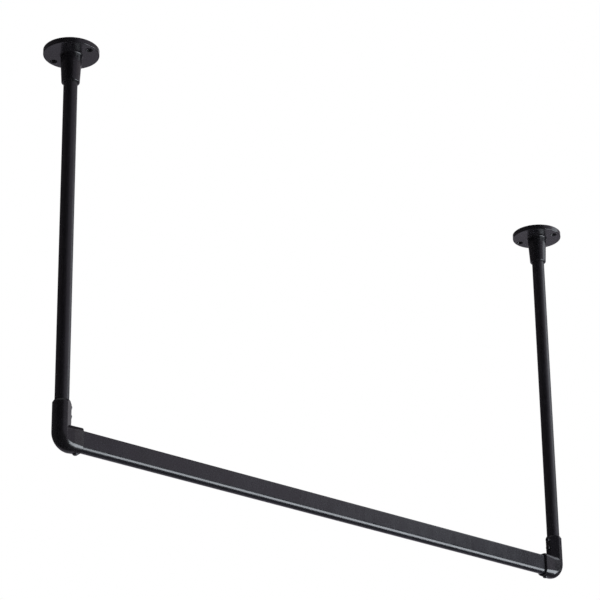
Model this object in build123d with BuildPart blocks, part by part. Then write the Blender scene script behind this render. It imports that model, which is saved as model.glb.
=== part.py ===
from build123d import *
from math import cos, radians, sin, sqrt
import os

# Ceiling-hung rail: two flanged posts, two cast elbows and one D-section rail.
#
# Millimetres. The origin is in the ceiling plane, midway between the two posts.
# +X runs along the rail from the left post to the right one, +Y points to the
# rear and +Z points up into the ceiling, so the whole object lies below Z = 0.

# ---------------------------------------------------------------- driving sizes
post_spacing = 965.0            # between the two post axes
rail_underside_drop = 600.0     # from the ceiling down to the rail's lowest line

tube_radius = 10.0              # posts are 20 mm tube
wall = 1.2                      # tube and rail wall
socket_clearance = 0.05         # radial, between a tube and its socket

rail_height = 30.0              # D section, flat side up
rail_width = 15.0
rail_corner = 1.8

flange_radius = 40.0
flange_thickness = 8.0
flange_rim_round = 1.2
neck_root_radius = 15.5         # where the neck leaves the disc
neck_end_radius = 13.0
neck_end_drop = 52.5            # from the ceiling to the neck's lower end
neck_root_fillet = 2.5
neck_end_fillet = 2.0
ceiling_hole_circle = 31.0      # radius of the circle through a flange's two holes
ceiling_hole_turn = 108.0       # degrees from +X to the rear hole
ceiling_hole_radius = 2.75
ceiling_countersink_radius = 5.5

elbow_radius = 13.0             # round outer half of the post socket, and the bend
elbow_bend_radius = 14.0        # centre line of the bend
arm_arc_drop = 6.0              # centre of the arm's round underside, below the rail's centre
arm_side = 12.7                 # half width of the arm where it leaves the bend
arm_top = 18.6                  # above the rail's centre
arm_top_round = 9.0             # the arm's upper corners beside the bend
arm_end_side = 10.7             # half width of the arm at its open end
arm_end_arc_radius = 10.95
arm_end_arc_drop = 6.75
arm_end_top_round = 5.5
arm_length = 31.0               # from the post axis to the open end
arm_end_chamfer = 1.5
socket_top = 52.0               # above the rail's centre
pad_half_width = 4.7            # flat pad that the post screws sit on
crease_angle = 84.0             # where the round half stops, from the inner side
shoulder_inset = 1.8            # tapered shoulder at the mouth of the post socket
shoulder_height = 3.0

tube_seat = 17.5                # bottom of the post socket, above the rail's centre
rail_seat = 5.0                 # end of the rail, from the post axis
flange_seat = 7.5               # top of the neck's bore, below the ceiling
end_gap = 0.3                   # between a tube's end and the bottom of its socket
rail_clearance = 0.1            # around the rail in its socket

screw_radius = 2.0
screw_hole_radius = 2.05
head_radius = 3.7
head_height = 2.8
head_dome = 1.1
recess_span = 4.4
recess_slot = 1.0
recess_depth = 1.4
post_screw_heights = {"upper": 45.0, "lower": 32.0}   # above the rail's centre
post_screw_length = 8.0
rail_screw_offset = 24.0        # from the post axis
rail_screw_length = 7.0
rail_screw_seat = 17.4          # below the rail's centre
spot_face_radius = 4.3

grub_radius = 2.5
grub_hole_radius = 2.55
grub_length = 4.0
grub_drop = 30.0                # below the ceiling, on the rear of the neck
grub_tip = 10.1                 # distance of the grub screw's tip from the post axis
grub_socket = 1.25              # hexagon socket, centre to flat
grub_socket_depth = 2.0

# ----------------------------------------------------------------- worked-out places
post_x = post_spacing / 2
rail_z = -(rail_underside_drop - rail_height / 2)
post_top = -(flange_seat + end_gap)
post_bottom = rail_z + tube_seat + end_gap
bend_start = elbow_bend_radius - arm_arc_drop
left_x = -post_x


def save(piece, name):
    """Label a finished piece and write its STEP file."""
    piece.part.label = name
    export_step(piece.part, f"parts/{name}.step")


def upright(x):
    """Plane through a post's axis: its x runs along +X, its y up, seen from the front."""
    return Plane(origin=(x, 0, rail_z), x_dir=(1, 0, 0), z_dir=(0, -1, 0))


def across(x):
    """Plane square to the rail: its x runs to the rear, its y up, its normal along +X."""
    return Plane(origin=(x, 0, rail_z), x_dir=(0, 1, 0), z_dir=(1, 0, 0))


def rail_outline():
    """D outline of the rail about its own centre: flat top, half-round underside."""
    half = rail_width / 2
    arc_y = half - rail_height / 2
    with BuildSketch(Plane.XY) as outline:
        with BuildLine():
            ThreePointArc((-half, arc_y), (0, -rail_height / 2), (half, arc_y))
            Polyline((half, arc_y), (half, rail_height / 2), (-half, rail_height / 2), (-half, arc_y))
        make_face()
        fillet(outline.vertices().group_by(Axis.Y)[-1], rail_corner)
    return outline.sketch


def arm_outline(plane, side, arc_radius, arc_drop, top_round):
    """D outline of the elbow's arm: flat sides, rounded top corners, round underside."""
    crease_y = -arc_drop - sqrt(arc_radius**2 - side**2)
    with BuildSketch(plane) as outline:
        with BuildLine():
            ThreePointArc((-side, crease_y), (0, -arc_drop - arc_radius), (side, crease_y))
            Polyline((side, crease_y), (side, arm_top), (-side, arm_top), (-side, crease_y))
        make_face()
        fillet(outline.vertices().group_by(Axis.Y)[-1], top_round)
    return outline.sketch


# ------------------------------------------------------------------ ceiling flanges
def make_flange(x):
    """Round ceiling flange with a tapered neck and a blind bore for the post."""
    with BuildPart() as flange:
        with BuildSketch(Plane(origin=(x, 0, 0), x_dir=(1, 0, 0), z_dir=(0, -1, 0))):
            with BuildLine():
                Polyline(
                    (0, 0),
                    (flange_radius, 0),
                    (flange_radius, -flange_thickness),
                    (neck_root_radius, -flange_thickness),
                    (neck_end_radius, -neck_end_drop),
                    (0, -neck_end_drop),
                    (0, 0),
                )
            make_face()
        revolve(axis=Axis((x, 0, 0), (0, 0, 1)))
        circles = flange.edges().filter_by(GeomType.CIRCLE)
        disc_edges = circles.group_by(SortBy.RADIUS)[-1]
        neck_end = circles.sort_by(Axis.Z)[0]
        neck_root = circles.filter_by(lambda e: abs(e.radius - neck_root_radius) < 0.01)
        fillet(disc_edges.sort_by(Axis.Z)[0], flange_rim_round)
        fillet(neck_root, neck_root_fillet)
        fillet(neck_end, neck_end_fillet)
        top_rim = flange.faces().sort_by(Axis.Z)[-1].edges()
        chamfer(top_rim, 0.5)

        bore_depth = neck_end_drop - flange_seat
        with BuildSketch(Plane(origin=(x, 0, -neck_end_drop))):
            Circle(tube_radius + socket_clearance)
        extrude(amount=bore_depth, mode=Mode.SUBTRACT)

        face = Plane(origin=(x, 0, -flange_thickness), x_dir=(1, 0, 0), z_dir=(0, 0, -1))
        with Locations(face):
            with PolarLocations(ceiling_hole_circle, 2, start_angle=-ceiling_hole_turn):
                CounterSinkHole(ceiling_hole_radius, ceiling_countersink_radius, flange_thickness, 90)

        rear = Plane(origin=(x, 0, -grub_drop), x_dir=(1, 0, 0), z_dir=(0, 1, 0))
        with BuildSketch(rear):
            Circle(grub_hole_radius)
        extrude(amount=neck_root_radius + 2, mode=Mode.SUBTRACT)
    return flange


# -------------------------------------------------------------------------- posts
def make_post(x, inward):
    """Straight tube with two screw holes in its inner side; inward is +1 or -1 along X."""
    with BuildPart() as post:
        with BuildSketch(Plane(origin=(x, 0, post_bottom))):
            Circle(tube_radius)
            Circle(tube_radius - wall, mode=Mode.SUBTRACT)
        extrude(amount=post_top - post_bottom)
        for height in post_screw_heights.values():
            with BuildSketch(Plane(origin=(x, 0, rail_z + height), z_dir=(inward, 0, 0))):
                Circle(screw_hole_radius)
            extrude(amount=tube_radius + 1, mode=Mode.SUBTRACT)
    return post


# --------------------------------------------------------------------------- elbow
crease = (elbow_radius * cos(radians(crease_angle)), elbow_radius * sin(radians(crease_angle)))

with BuildPart() as left_elbow:
    # Bend: the round section turned through a right angle, its flanks cut flat beside the arm.
    with BuildSketch(Plane(origin=(left_x, 0, rail_z + bend_start))):
        Circle(elbow_radius)
    revolve(
        axis=Axis((left_x + elbow_bend_radius, 0, rail_z + bend_start), (0, -1, 0)),
        revolution_arc=90,
    )
    flat_length = elbow_bend_radius - crease[0]
    with BuildSketch(Plane(origin=(left_x, 0, rail_z))):
        with Locations((-elbow_radius + crease[0], 0)):
            Rectangle(2 * elbow_radius, 2 * elbow_radius + 1)
        with Locations((crease[0] + flat_length / 2, 0)):
            Rectangle(flat_length, 2 * arm_side)
    extrude(amount=2 * elbow_radius, both=True, mode=Mode.INTERSECT)

    # Arm: straight beside the bend, then tapering to its open end with a chamfered rim.
    web_height = arm_top + arm_arc_drop
    with BuildSketch(across(left_x)) as web:
        with Locations((0, arm_top - web_height / 2)):
            Rectangle(2 * arm_side, web_height)
        fillet(web.vertices().group_by(Axis.Y)[-1], arm_top_round)
    extrude(amount=elbow_bend_radius)
    taper_start = across(left_x + elbow_bend_radius)
    taper_end = across(left_x + arm_length - arm_end_chamfer)
    rim = across(left_x + arm_length)
    end_outline = arm_outline(
        taper_end, arm_end_side, arm_end_arc_radius, arm_end_arc_drop, arm_end_top_round
    )
    add(arm_outline(taper_start, arm_side, elbow_radius, arm_arc_drop, arm_top_round))
    add(end_outline)
    loft(ruled=True)
    add(end_outline)
    with BuildSketch(rim):
        add(arm_outline(Plane.XY, arm_end_side, arm_end_arc_radius, arm_end_arc_drop, arm_end_top_round))
        offset(amount=-arm_end_chamfer)
    loft(ruled=True)

    # Post socket: round towards the outside, two flats and a screw pad towards the rail.
    with BuildSketch(Plane(origin=(left_x, 0, rail_z + bend_start))):
        with BuildLine():
            ThreePointArc(crease, (-elbow_radius, 0), (crease[0], -crease[1]))
            Polyline(
                (crease[0], -crease[1]),
                (elbow_radius, -pad_half_width),
                (elbow_radius, pad_half_width),
                crease,
            )
        make_face()
    extrude(amount=socket_top - bend_start)

    # Shoulder round the mouth of the post socket.
    slope = shoulder_inset / shoulder_height
    outside = elbow_radius + 2
    with BuildSketch(upright(left_x)):
        with BuildLine():
            Polyline(
                (elbow_radius - shoulder_inset, socket_top),
                (outside, socket_top),
                (outside, socket_top - (outside - elbow_radius + shoulder_inset) / slope),
                (elbow_radius - shoulder_inset, socket_top),
            )
        make_face()
    revolve(axis=Axis((left_x, 0, 0), (0, 0, 1)), mode=Mode.SUBTRACT)

    # Sockets for the post and for the rail, with a web left between them.
    with BuildSketch(Plane(origin=(left_x, 0, rail_z + tube_seat))):
        Circle(tube_radius + socket_clearance)
    extrude(amount=socket_top, mode=Mode.SUBTRACT)
    with BuildSketch(across(left_x + rail_seat - end_gap)):
        add(rail_outline())
        offset(amount=rail_clearance)
    extrude(amount=arm_length, mode=Mode.SUBTRACT)

    # Screw holes: two through the pad, one up through the arm's underside.
    for height in post_screw_heights.values():
        with BuildSketch(Plane(origin=(left_x, 0, rail_z + height), z_dir=(1, 0, 0))):
            Circle(screw_hole_radius)
        extrude(amount=elbow_radius + 1, mode=Mode.SUBTRACT)
    underside = Plane(origin=(left_x + rail_screw_offset, 0, rail_z), z_dir=(0, 0, -1))
    with BuildSketch(underside):
        Circle(screw_hole_radius)
    extrude(amount=elbow_radius + arm_arc_drop + 1, mode=Mode.SUBTRACT)
    with BuildSketch(underside.offset(rail_screw_seat)):
        Circle(spot_face_radius)
    extrude(amount=elbow_radius, mode=Mode.SUBTRACT)

with BuildPart() as right_elbow:
    mirror(left_elbow.part, about=Plane.YZ)


# ---------------------------------------------------------------------------- rail
rail_half_length = post_x - rail_seat
with BuildPart() as rail:
    with BuildSketch(across(-rail_half_length)):
        add(rail_outline())
        offset(amount=-wall, mode=Mode.SUBTRACT)
    extrude(amount=2 * rail_half_length)
    for side in (-1, 1):
        with BuildSketch(
            Plane(origin=(side * (post_x - rail_screw_offset), 0, rail_z), z_dir=(0, 0, -1))
        ):
            Circle(screw_hole_radius)
        extrude(amount=rail_height, mode=Mode.SUBTRACT)


# --------------------------------------------------------------------------- screws
def make_pan_screw(seat, length):
    """Pan-head screw on a seat plane whose normal points out of the hole."""
    with BuildPart() as screw:
        with BuildSketch(seat):
            Circle(head_radius)
        extrude(amount=head_height)
        fillet(screw.faces().sort_by(Axis(seat.origin, seat.z_dir))[-1].edges(), head_dome)
        with BuildSketch(seat):
            Circle(screw_radius)
        extrude(amount=-length)
        chamfer(screw.faces().sort_by(Axis(seat.origin, seat.z_dir))[0].edges(), 0.5)
        with BuildSketch(seat.offset(head_height)):
            Rectangle(recess_span, recess_slot)
            Rectangle(recess_slot, recess_span)
        extrude(amount=-recess_depth, mode=Mode.SUBTRACT)
    return screw


def make_grub_screw(x):
    """Hexagon-socket grub screw, flush in the rear of a flange's neck."""
    tip = Plane(origin=(x, grub_tip, -grub_drop), x_dir=(1, 0, 0), z_dir=(0, 1, 0))
    with BuildPart() as screw:
        with BuildSketch(tip):
            Circle(grub_radius)
        extrude(amount=grub_length)
        with BuildSketch(tip.offset(grub_length)):
            RegularPolygon(grub_socket, 6, major_radius=False)
        extrude(amount=-grub_socket_depth, mode=Mode.SUBTRACT)
    return screw


# ---------------------------------------------------------------------------- write
os.makedirs("parts", exist_ok=True)
save(left_elbow, "left_elbow")
save(right_elbow, "right_elbow")
save(rail, "rail")
for name, side in (("left", -1), ("right", 1)):
    x = side * post_x
    save(make_flange(x), f"{name}_ceiling_flange")
    save(make_grub_screw(x), f"{name}_flange_grub_screw")
    save(make_post(x, -side), f"{name}_post")
    for level, height in post_screw_heights.items():
        pad = Plane(origin=(x - side * elbow_radius, 0, rail_z + height), z_dir=(-side, 0, 0))
        save(make_pan_screw(pad, post_screw_length), f"{name}_post_screw_{level}")
    seat = Plane(
        origin=(side * (post_x - rail_screw_offset), 0, rail_z - rail_screw_seat),
        z_dir=(0, 0, -1),
    )
    save(make_pan_screw(seat, rail_screw_length), f"{name}_rail_screw")
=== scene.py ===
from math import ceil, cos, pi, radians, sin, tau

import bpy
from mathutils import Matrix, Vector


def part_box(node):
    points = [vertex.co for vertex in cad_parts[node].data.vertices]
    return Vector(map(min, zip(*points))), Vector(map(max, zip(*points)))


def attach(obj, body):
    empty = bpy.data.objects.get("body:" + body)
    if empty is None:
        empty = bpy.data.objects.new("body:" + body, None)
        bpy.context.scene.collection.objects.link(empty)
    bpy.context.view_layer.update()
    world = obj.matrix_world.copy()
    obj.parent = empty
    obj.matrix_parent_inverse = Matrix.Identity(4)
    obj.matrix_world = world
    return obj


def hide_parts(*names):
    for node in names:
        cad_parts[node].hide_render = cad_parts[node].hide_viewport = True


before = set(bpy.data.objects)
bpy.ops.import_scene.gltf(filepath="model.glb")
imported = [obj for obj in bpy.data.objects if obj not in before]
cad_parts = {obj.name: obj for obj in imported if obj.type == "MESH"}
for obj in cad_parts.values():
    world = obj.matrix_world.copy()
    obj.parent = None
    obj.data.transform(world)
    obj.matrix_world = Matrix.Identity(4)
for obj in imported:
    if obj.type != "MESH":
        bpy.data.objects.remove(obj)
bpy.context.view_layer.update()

# Looks, light and camera for the ceiling-hung rail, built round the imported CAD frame.
#
# Metres, in the frame's own axes: the origin lies in the ceiling plane midway between the two
# posts, +X runs along the rail to the right post, +Y to the rear and +Z up.

MM = 0.001
SIDES = {"left": 1, "right": -1}            # direction from each post towards the rail, along X
POST_SCREWS = ("post_screw_upper", "post_screw_lower")

# ------------------------------------------------------------------------------ screw sizes
COLUMNS = 36                                # vertices round a screw
ROWS_PER_PITCH = 4                          # vertices along one turn of thread
HEIGHT_STEPS = 1000000                      # resolution at which two heights count as the same
SHARP_ANGLE = radians(32)                   # edges steeper than this stay sharp in the shading

HEAD_HEIGHT = 2.8 * MM
HEAD_RADIUS = 3.7 * MM
HEAD_SIDE = 1.05 * MM                       # straight side of the head, below its dome
HEAD_EDGE = 0.18 * MM                       # small bevel under the head
DOME_ROWS = 12
DOME_POWER = 0.62                           # below 1, the dome is flatter than a half ellipse
RECESS_SPAN = 4.5 * MM
RECESS_SLOT = 1.05 * MM
RECESS_DEPTH = 1.6 * MM
RECESS_TAPER = 0.5                          # the recess's floor, as a share of its mouth
CUT_OVERSHOOT = 0.1 * MM                    # how far a cutter stands out of the face it cuts

PAN_THREAD = {"crest": 2.0 * MM, "root": 1.62 * MM, "pitch": 0.7 * MM, "tip": 1.25 * MM}
GRUB_THREAD = {"crest": 2.5 * MM, "root": 2.05 * MM, "pitch": 0.8 * MM, "tip": 1.7 * MM}
GRUB_SOCKET = 1.25 * MM                     # hexagon, centre to flat
GRUB_SOCKET_DEPTH = 2.0 * MM
GRUB_SOCKET_CONE = 0.5 * MM                 # drill point at the bottom of the socket
GRUB_CONE_TIP = 0.1                         # the drill point's tip, as a share of the socket


# -------------------------------------------------------------------------------- mesh tools
def new_piece(name, points, faces, place=Matrix.Identity(4)):
    """Object in the scene with this mesh, its points moved by place into the frame's axes."""
    mesh = bpy.data.meshes.new(name)
    mesh.from_pydata([tuple(place @ Vector(p)) for p in points], [], faces)
    mesh.validate()
    mesh.update()
    piece = bpy.data.objects.new(name, mesh)
    bpy.context.scene.collection.objects.link(piece)
    return piece


def cut(piece, cutter):
    """Take the cutter's closed shape out of the piece, and delete the cutter."""
    boolean = piece.modifiers.new("cut", "BOOLEAN")
    boolean.operation = "DIFFERENCE"
    boolean.solver = "EXACT"
    boolean.object = cutter
    graph = bpy.context.evaluated_depsgraph_get()
    result = bpy.data.meshes.new_from_object(piece.evaluated_get(graph))
    piece.modifiers.clear()
    piece.data = result
    bpy.data.objects.remove(cutter)


def lofted(name, rings, place):
    """Closed piece through rings of the same number of points, with a flat cap at each end."""
    count = len(rings[0])
    points = [p for ring in rings for p in ring]
    faces = [tuple(reversed(range(count)))]
    for level in range(len(rings) - 1):
        start = level * count
        for j in range(count):
            k = (j + 1) % count
            faces.append((start + j, start + k, start + count + k, start + count + j))
    faces.append(tuple(range((len(rings) - 1) * count, len(rings) * count)))
    return new_piece(name, points, faces, place)


def ring(radius, z, count=COLUMNS):
    """Level circle of points round the screw's axis."""
    return [(radius * cos(tau * j / count), radius * sin(tau * j / count), z) for j in range(count)]


# ------------------------------------------------------------------------------------ screws
def threaded_shank(thread, length, far_chamfer=False):
    """Points, faces and far ring of a helical thread from z = -length up to z = 0, its tip end
    capped.
    """
    points, faces, index = [], [], {}
    pitch, root = thread["pitch"], thread["root"]
    depth = thread["crest"] - root

    def vertex(row, column):
        along = (row / ROWS_PER_PITCH + column / COLUMNS) * pitch
        along = min(max(along, 0.0), length)
        key = (column, round(along / length * HEIGHT_STEPS))
        if key not in index:
            phase = (along / pitch - column / COLUMNS) % 1.0
            radius = root + depth * (1 - abs(2 * phase - 1))
            radius = min(radius, thread["tip"] + along)
            if far_chamfer:
                radius = min(radius, thread["tip"] + length - along)
            turn = tau * column / COLUMNS
            index[key] = len(points)
            points.append((radius * cos(turn), radius * sin(turn), along - length))
        return index[key]

    last_row = ceil(length / pitch * ROWS_PER_PITCH) + ROWS_PER_PITCH
    for column in range(COLUMNS):
        after = (column + 1) % COLUMNS
        climb = ROWS_PER_PITCH if after == 0 else 0
        for row in range(-ROWS_PER_PITCH, last_row):
            corners = [
                vertex(row, column),
                vertex(row + climb, after),
                vertex(row + climb + 1, after),
                vertex(row + 1, column),
            ]
            corners = [c for i, c in enumerate(corners) if c not in corners[:i]]
            if len(corners) > 2:
                faces.append(tuple(corners))
    tip = [index[(column, 0)] for column in range(COLUMNS)]
    far = [index[(column, HEIGHT_STEPS)] for column in range(COLUMNS)]
    faces.append(tuple(reversed(tip)))
    return points, faces, far


def head_profile():
    """(radius, z) from the underside of the head over its domed top, axis left out."""
    profile = [(HEAD_RADIUS - HEAD_EDGE, 0.0), (HEAD_RADIUS, HEAD_EDGE), (HEAD_RADIUS, HEAD_SIDE)]
    for step in range(1, DOME_ROWS):
        turn = pi / 2 * step / DOME_ROWS
        radius = HEAD_RADIUS * cos(turn) ** DOME_POWER
        profile.append((radius, HEAD_SIDE + (HEAD_HEIGHT - HEAD_SIDE) * sin(turn)))
    return profile


def pan_screw(name, place, length):
    """Cross-recessed pan-head screw with a helical thread; its seat is z = 0 before placing."""
    points, faces, below = threaded_shank(PAN_THREAD, length)
    for radius, z in head_profile():
        above = list(range(len(points), len(points) + COLUMNS))
        points += ring(radius, z)
        for j in range(COLUMNS):
            k = (j + 1) % COLUMNS
            faces.append((below[j], below[k], above[k], above[j]))
        below = above
    top = len(points)
    points.append((0.0, 0.0, HEAD_HEIGHT))
    for j in range(COLUMNS):
        faces.append((below[j], below[(j + 1) % COLUMNS], top))
    piece = new_piece(name, points, faces, place)

    span, slot = RECESS_SPAN / 2, RECESS_SLOT / 2
    quarter = [(span, -slot), (span, slot), (slot, slot)]
    outline = []
    for turn in range(4):
        spin = Matrix.Rotation(turn * pi / 2, 2)
        outline += [spin @ Vector(p) for p in quarter]
    rings = []
    levels = ((RECESS_TAPER, HEAD_HEIGHT - RECESS_DEPTH), (1.0, HEAD_HEIGHT + CUT_OVERSHOOT))
    for scale, z in levels:
        rings.append([(p.x * scale, p.y * (scale + 1) / 2, z) for p in outline])
    cut(piece, lofted(name + "_recess", rings, place))
    return piece


def grub_screw(name, place, length):
    """Headless screw with a hexagon socket in its outer end, which is z = 0 before placing."""
    points, faces, far = threaded_shank(GRUB_THREAD, length, far_chamfer=True)
    faces.append(tuple(far))
    piece = new_piece(name, points, faces, place)
    corner = GRUB_SOCKET / cos(pi / 6)
    levels = (
        (corner * GRUB_CONE_TIP, -GRUB_SOCKET_DEPTH - GRUB_SOCKET_CONE),
        (corner, -GRUB_SOCKET_DEPTH),
        (corner, CUT_OVERSHOOT),
    )
    rings = [ring(radius, z, 6) for radius, z in levels]
    cut(piece, lofted(name + "_socket", rings, place))
    return piece


def place_along(node, outward, head_height):
    """Matrix that puts z = 0 at the CAD node's seat and +Z along outward, and the shank's length."""
    low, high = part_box(node)
    centre = (low + high) / 2
    reach = abs((high - low).dot(outward))
    seat = centre + outward * (reach / 2 - head_height)
    turn = outward.to_track_quat("Z", "Y").to_matrix().to_4x4()
    return Matrix.Translation(seat) @ turn, reach - head_height


def make_screws():
    """Detailed screws in the places of the plain CAD ones, each on the CAD screw's own body."""
    screws = []
    for side, towards_rail in SIDES.items():
        jobs = [(f"{side}_{screw}", Vector((towards_rail, 0, 0)), pan_screw) for screw in POST_SCREWS]
        jobs.append((f"{side}_rail_screw", Vector((0, 0, -1)), pan_screw))
        jobs.append((f"{side}_flange_grub_screw", Vector((0, 1, 0)), grub_screw))
        for node, outward, build in jobs:
            head = HEAD_HEIGHT if build is pan_screw else 0.0
            place, length = place_along(node, outward, head)
            piece = build(node + "_threaded", place, length)
            piece.data.shade_smooth()
            piece.data.set_sharp_from_angle(angle=SHARP_ANGLE)
            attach(piece, node)
            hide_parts(node)
            screws.append(piece)
    return screws


# --------------------------------------------------------------------------------- materials
BEVEL_SAMPLES = 6
EDGE_MATCH = (0.98, 0.80)                   # agreement of plain and rounded normal: face, edge
MID_NOISE = (0.3, 0.7)                      # the span in which most of a noise's values lie

# Sizes of the blotches in a coating, in metres.
CLOUD = 0.045                               # slow change of tone
SMEAR = 0.014                               # patches of gloss
PATCH = 0.0035                              # broken wear along the edges
SPECK = 0.0011                              # dust and pinholes
RIPPLE_RATIO = 7                            # slow ripple, as a multiple of the grain

# Spans of a noise, and the strengths that they turn into.
SPECKS = (0.70, 0.78, 0.0, 0.35)
WEAR = (0.44, 0.66, 0.05, 0.8)
SCREW_WEAR = (0.40, 0.62, 0.1, 0.9)

# Changes of roughness: over the smears, over the grain, and where the coating is rubbed.
SMEAR_GLOSS = (-0.05, 0.06)
GRAIN_GLOSS = (-0.03, 0.03)
WEAR_GLOSS = 0.1
COATING_IOR = 1.5

ZINC_DARK = (0.030, 0.030, 0.033)
ZINC_LIGHT = (0.105, 0.103, 0.108)
ZINC_WORN = (0.42, 0.41, 0.40)
ZINC_GLOSS = (0.42, 0.26)
ZINC_METALLIC = 0.9

MOTTLE = 0.0016                             # zinc plating on the screws
PLATING_GRAIN = 0.00022
PLATING_GRAIN_DEPTH = 0.000006
SCREW_EDGE = 0.00022

FLOOR_TONES = ((0.80, 0.80, 0.80), (0.84, 0.84, 0.835))
FLOOR_GLOSS = (0.75, 0.85)
FLOOR_CLOUD = 0.9
FLOOR_GRAIN = 0.004
FLOOR_GRAIN_DEPTH = 0.00015


class Finish:
    """A procedural finish: a Principled shader and short helpers that add nodes to it."""

    def __init__(self, name):
        self.material = bpy.data.materials.new(name)
        self.material.use_nodes = True
        self.tree = self.material.node_tree
        self.shader = self.tree.nodes["Principled BSDF"]
        self.place = self.tree.nodes.new("ShaderNodeTexCoord").outputs["Object"]

    def add(self, kind, **settings):
        made = self.tree.nodes.new("ShaderNode" + kind)
        for key, value in settings.items():
            setattr(made, key, value)
        return made

    def join(self, source, target):
        self.tree.links.new(source, target)

    def noise(self, size, detail=2.0, rough=0.5, stretch=(1, 1, 1)):
        """Noise from 0 to 1 whose blotches are about size metres across."""
        scaled = self.add("Mapping")
        scaled.inputs["Scale"].default_value = stretch
        self.join(self.place, scaled.inputs["Vector"])
        made = self.add("TexNoise")
        made.inputs["Scale"].default_value = 1 / size
        made.inputs["Detail"].default_value = detail
        made.inputs["Roughness"].default_value = rough
        self.join(scaled.outputs["Vector"], made.inputs["Vector"])
        return made.outputs["Fac"]

    def ranged(self, value, low, high, to_low, to_high):
        """The value's span low to high, turned into to_low to to_high and clamped."""
        made = self.add("MapRange")
        names = ("From Min", "From Max", "To Min", "To Max")
        for name, number in zip(names, (low, high, to_low, to_high)):
            made.inputs[name].default_value = number
        self.join(value, made.inputs["Value"])
        return made.outputs["Result"]

    def maths(self, operation, a, b):
        made = self.add("Math", operation=operation)
        for socket, value in zip(made.inputs, (a, b)):
            if isinstance(value, (int, float)):
                socket.default_value = value
            else:
                self.join(value, socket)
        return made.outputs["Value"]

    def blend(self, amount, first, second):
        """Mix two colours, each a socket or three numbers."""
        made = self.add("Mix", data_type="RGBA")
        self.join(amount, made.inputs["Factor"])
        for name, colour in (("A", first), ("B", second)):
            socket = next(s for s in made.inputs if s.name == name and s.type == "RGBA")
            if isinstance(colour, tuple):
                socket.default_value = (*colour, 1)
            else:
                self.join(colour, socket)
        return next(s for s in made.outputs if s.type == "RGBA")

    def edges(self, radius):
        """(0 to 1 mask of convex and concave edges, normal rounded over them)."""
        soft = self.add("Bevel", samples=BEVEL_SAMPLES)
        soft.inputs["Radius"].default_value = radius
        plain = self.add("NewGeometry")
        match = self.add("VectorMath", operation="DOT_PRODUCT")
        self.join(soft.outputs["Normal"], match.inputs[0])
        self.join(plain.outputs["Normal"], match.inputs[1])
        mask = self.ranged(match.outputs["Value"], *EDGE_MATCH, 0.0, 1.0)
        return mask, soft.outputs["Normal"]

    def bump(self, height, depth, normal=None):
        """Normal after raising the surface by height times depth metres."""
        made = self.add("Bump")
        made.inputs["Strength"].default_value = 1.0
        made.inputs["Distance"].default_value = depth
        self.join(height, made.inputs["Height"])
        if normal is not None:
            self.join(normal, made.inputs["Normal"])
        return made.outputs["Normal"]


def coated(name, dark, light, worn, gloss, grain, grain_depth, ripple_depth, edge_radius):
    """Black coating: blotchy tone, fine grain over a slow ripple, specks, and rubbed edges."""
    finish = Finish(name)
    shader = finish.shader
    cloud = finish.noise(CLOUD, detail=4, rough=0.6)
    smear = finish.noise(SMEAR, detail=5, rough=0.65, stretch=(1, 1, 0.45))
    peel = finish.noise(grain, detail=3, rough=0.55)
    ripple = finish.noise(grain * RIPPLE_RATIO, detail=2)
    speck = finish.noise(SPECK, detail=1)
    patch = finish.noise(PATCH, detail=4, rough=0.7)
    mask, rounded = finish.edges(edge_radius)

    tone = finish.blend(finish.ranged(cloud, *MID_NOISE, 0, 1), dark, light)
    specks = finish.ranged(speck, *SPECKS)
    tone = finish.blend(specks, tone, worn)
    rub = finish.maths("MULTIPLY", mask, finish.ranged(patch, *WEAR))
    tone = finish.blend(rub, tone, worn)
    finish.join(tone, shader.inputs["Base Color"])

    rough = finish.ranged(smear, *MID_NOISE, *(gloss + change for change in SMEAR_GLOSS))
    rough = finish.maths("ADD", rough, finish.ranged(peel, *MID_NOISE, *GRAIN_GLOSS))
    rough = finish.maths("SUBTRACT", rough, finish.maths("MULTIPLY", rub, WEAR_GLOSS))
    finish.join(rough, shader.inputs["Roughness"])

    normal = finish.bump(ripple, ripple_depth, rounded)
    normal = finish.bump(peel, grain_depth, normal)
    finish.join(normal, shader.inputs["Normal"])
    shader.inputs["IOR"].default_value = COATING_IOR
    return finish.material


def screw_metal():
    """Black-zinc screw steel: dark metal, mottled plating and bright rubbed edges."""
    finish = Finish("black_zinc_steel")
    shader = finish.shader
    mottle = finish.noise(MOTTLE, detail=5, rough=0.7)
    grain = finish.noise(PLATING_GRAIN, detail=2)
    mask, rounded = finish.edges(SCREW_EDGE)
    tone = finish.blend(finish.ranged(mottle, 0.35, 0.65, 0, 1), ZINC_DARK, ZINC_LIGHT)
    rub = finish.maths("MULTIPLY", mask, finish.ranged(mottle, *SCREW_WEAR))
    tone = finish.blend(rub, tone, ZINC_WORN)
    finish.join(tone, shader.inputs["Base Color"])
    rough = finish.ranged(mottle, *MID_NOISE, *ZINC_GLOSS)
    finish.join(rough, shader.inputs["Roughness"])
    finish.join(finish.bump(grain, PLATING_GRAIN_DEPTH, rounded), shader.inputs["Normal"])
    shader.inputs["Metallic"].default_value = ZINC_METALLIC
    return finish.material


def floor_paint():
    """Pale matt floor with a faint cloudy tone."""
    finish = Finish("pale_floor")
    shader = finish.shader
    cloud = finish.noise(FLOOR_CLOUD, detail=4, rough=0.6)
    tone = finish.blend(finish.ranged(cloud, *MID_NOISE, 0, 1), *FLOOR_TONES)
    finish.join(tone, shader.inputs["Base Color"])
    grain = finish.noise(FLOOR_GRAIN, detail=2)
    finish.join(finish.ranged(grain, *MID_NOISE, *FLOOR_GLOSS), shader.inputs["Roughness"])
    finish.join(finish.bump(grain, FLOOR_GRAIN_DEPTH), shader.inputs["Normal"])
    return finish.material


def paint(piece, material):
    """Give every material slot of a piece this finish."""
    if not piece.data.materials:
        piece.data.materials.append(material)
    for slot in piece.material_slots:
        slot.link = "OBJECT"
        slot.material = material


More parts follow.
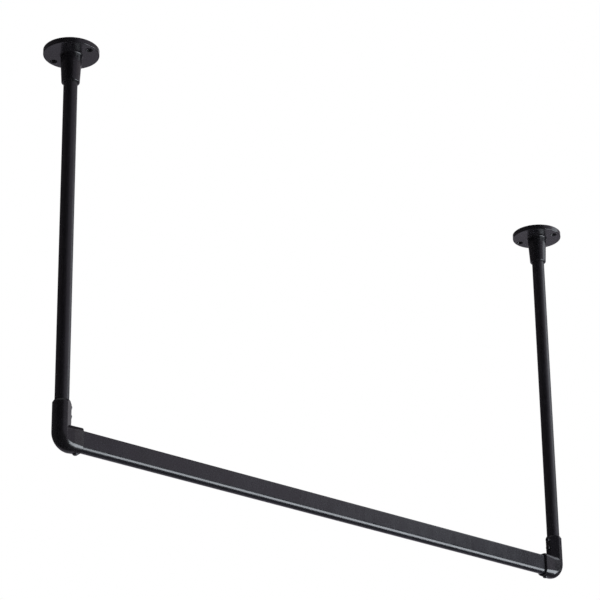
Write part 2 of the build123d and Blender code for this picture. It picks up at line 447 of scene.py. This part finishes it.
# ---------------------------------------------------------------------- camera, light, floor
HEADING = radians(41.7)                      # camera's turn from +Y towards +X
PITCH = radians(21.5)                        # camera's tilt upwards
ROLL = radians(-0.77)                        # camera's turn about its line of sight
SENSOR = 36                                  # width in millimetres
LENS = 137.7                                 # focal length in millimetres
SHIFT = 0.12                                 # upwards, as a share of the frame
CLIP_END = 100
CAMERA_PLACE = Vector((-2.154, -2.356, -1.627))

FLOOR_DROP = 2.4                             # a room's height below the ceiling plane
FLOOR_REACH = 30.0                           # from the middle of the floor to its edges

SKY_STRENGTH = 2.1                           # watts per square metre
SKY_ANGLE = radians(70)                      # how wide the light's disc looks

# Soft boxes: name, place, point aimed at, width and height, radiance, colour, seen in reflections.
SOFTBOXES = (
    ("overhead", (0, 0, 3.0), (0, 0, 0), (4.0, 4.0), 2.0, (1.0, 1.0, 1.0), False),
    ("right_side", (2.15, -1.3, 0.95), (0, 0, -0.3), (3.0, 1.5), 0.45, (1.0, 0.88, 0.98), True),
    ("right_near", (1.48, -0.78, 0.34), (0.48, 0, -0.3), (0.8, 0.8), 1.7, (0.84, 0.94, 1.0), True),
    ("low_front", (1.6, -2.15, -1.45), (0.3, 0, -1.2), (3.0, 1.5), 8.8, (0.88, 0.94, 1.0), True),
)

# Soft glows: direction, angle of full strength, angle where it ends (degrees), radiance (RGB).
GLOWS = (
    ((0.9, -0.4, 0.2), 10, 130, (0.055, 0.050, 0.058)),
    ((0.42, 0.72, -0.55), 12, 44, (0.36, 0.34, 0.40)),
    ((0.74, 0.62, 0.27), 8, 34, (0.85, 0.83, 0.90)),
    ((0.23, -0.86, 0.45), 8, 34, (0.36, 0.33, 0.40)),
    ((0.0, 0.0, 1.0), 5, 40, (0.25, 0.25, 0.26)),
    ((-0.62, 0.74, 0.25), 10, 70, (0.085, 0.078, 0.088)),
)


def add_camera():
    """Camera below and to the left of the rail, looking up and to the right."""
    ahead = Vector((sin(HEADING) * cos(PITCH), cos(HEADING) * cos(PITCH), sin(PITCH)))
    level = Vector((cos(HEADING), -sin(HEADING), 0))
    above = level.cross(ahead)
    right = level * cos(ROLL) + above * sin(ROLL)
    up = above * cos(ROLL) - level * sin(ROLL)
    data = bpy.data.cameras.new("camera")
    data.sensor_width = SENSOR
    data.lens = LENS
    data.shift_y = SHIFT
    data.clip_end = CLIP_END
    camera = bpy.data.objects.new("camera", data)
    turn = Matrix((right, up, -ahead)).transposed().to_4x4()
    camera.matrix_world = Matrix.Translation(CAMERA_PLACE) @ turn
    bpy.context.scene.collection.objects.link(camera)
    bpy.context.scene.camera = camera


def add_floor():
    """Plain pale floor, a room's height below the ceiling plane."""
    half = FLOOR_REACH
    corners = [(-half, -half), (half, -half), (half, half), (-half, half)]
    plane = new_piece("floor", [(x, y, -FLOOR_DROP) for x, y in corners], [(0, 1, 2, 3)])
    plane.visible_glossy = False
    paint(plane, floor_paint())


def add_softbox(name, place, aim, size, radiance, colour, in_reflections):
    """Area light of that width and height and radiance, unseen by the camera."""
    data = bpy.data.lights.new(name, "AREA")
    data.shape = "RECTANGLE"
    data.size, data.size_y = size
    data.energy = radiance * pi * size[0] * size[1]
    data.color = colour
    lamp = bpy.data.objects.new(name, data)
    lamp.location = place
    lamp.rotation_euler = (Vector(aim) - Vector(place)).to_track_quat("-Z", "Y").to_euler()
    lamp.visible_camera = False
    lamp.visible_glossy = in_reflections
    bpy.context.scene.collection.objects.link(lamp)


def add_sky_light():
    """Broad, even light from straight above, which keeps the whole floor pale."""
    data = bpy.data.lights.new("sky_light", "SUN")
    data.energy = SKY_STRENGTH
    data.angle = SKY_ANGLE
    lamp = bpy.data.objects.new("sky_light", data)
    lamp.visible_glossy = False
    bpy.context.scene.collection.objects.link(lamp)


def add_world():
    """White surround for the camera; for light, the sum of the glows."""
    world = bpy.data.worlds.new("studio")
    bpy.context.scene.world = world
    world.use_nodes = True
    tree = world.node_tree
    tree.nodes.clear()

    def add(kind, **settings):
        made = tree.nodes.new("ShaderNode" + kind)
        for key, value in settings.items():
            setattr(made, key, value)
        return made

    direction = add("TexCoord").outputs["Generated"]
    total = None
    for toward, near, far, radiance in GLOWS:
        match = add("VectorMath", operation="DOT_PRODUCT")
        tree.links.new(direction, match.inputs[0])
        match.inputs[1].default_value = Vector(toward).normalized()
        fade = add("MapRange", interpolation_type="SMOOTHERSTEP")
        numbers = (cos(radians(far)), cos(radians(near)), 0.0, 1.0)
        for name, number in zip(("From Min", "From Max", "To Min", "To Max"), numbers):
            fade.inputs[name].default_value = number
        tree.links.new(match.outputs["Value"], fade.inputs["Value"])
        glow = add("VectorMath", operation="SCALE")
        glow.inputs[0].default_value = radiance
        tree.links.new(fade.outputs["Result"], glow.inputs["Scale"])
        if total is None:
            total = glow.outputs["Vector"]
        else:
            both = add("VectorMath", operation="ADD")
            tree.links.new(total, both.inputs[0])
            tree.links.new(glow.outputs["Vector"], both.inputs[1])
            total = both.outputs["Vector"]
    lighting = add("Background")
    tree.links.new(total, lighting.inputs["Color"])
    backdrop = add("Background")
    backdrop.inputs["Color"].default_value = (1, 1, 1, 1)
    choose = add("MixShader")
    tree.links.new(add("LightPath").outputs["Is Camera Ray"], choose.inputs["Fac"])
    tree.links.new(lighting.outputs["Background"], choose.inputs[1])
    tree.links.new(backdrop.outputs["Background"], choose.inputs[2])
    tree.links.new(choose.outputs["Shader"], add("OutputWorld").inputs["Surface"])


# ------------------------------------------------------------------------------------ build
post_coat = coated(
    "powder_coat_satin", (0.0055, 0.0050, 0.0062), (0.0080, 0.0073, 0.0090), (0.035, 0.033, 0.036),
    gloss=0.32, grain=0.0007, grain_depth=0.000009, ripple_depth=0.00003, edge_radius=0.0005,
)
cast_coat = coated(
    "cast_body_gloss", (0.0045, 0.0042, 0.0050), (0.0072, 0.0067, 0.0080), (0.040, 0.038, 0.041),
    gloss=0.22, grain=0.0011, grain_depth=0.000006, ripple_depth=0.00003, edge_radius=0.0004,
)
rail_coat = coated(
    "rail_coat_satin", (0.0048, 0.0046, 0.0062), (0.0068, 0.0065, 0.0088), (0.034, 0.033, 0.037),
    gloss=0.25, grain=0.0008, grain_depth=0.000008, ripple_depth=0.00003, edge_radius=0.0005,
)
screw_finish = screw_metal()

for piece in make_screws():
    paint(piece, screw_finish)
for side in SIDES:
    paint(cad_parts[f"{side}_post"], post_coat)
    paint(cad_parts[f"{side}_elbow"], cast_coat)
    paint(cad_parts[f"{side}_ceiling_flange"], cast_coat)
paint(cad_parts["rail"], rail_coat)

add_camera()
add_floor()
add_world()
add_sky_light()
for softbox in SOFTBOXES:
    add_softbox(*softbox)
bpy.context.scene.view_settings.view_transform = "Standard"
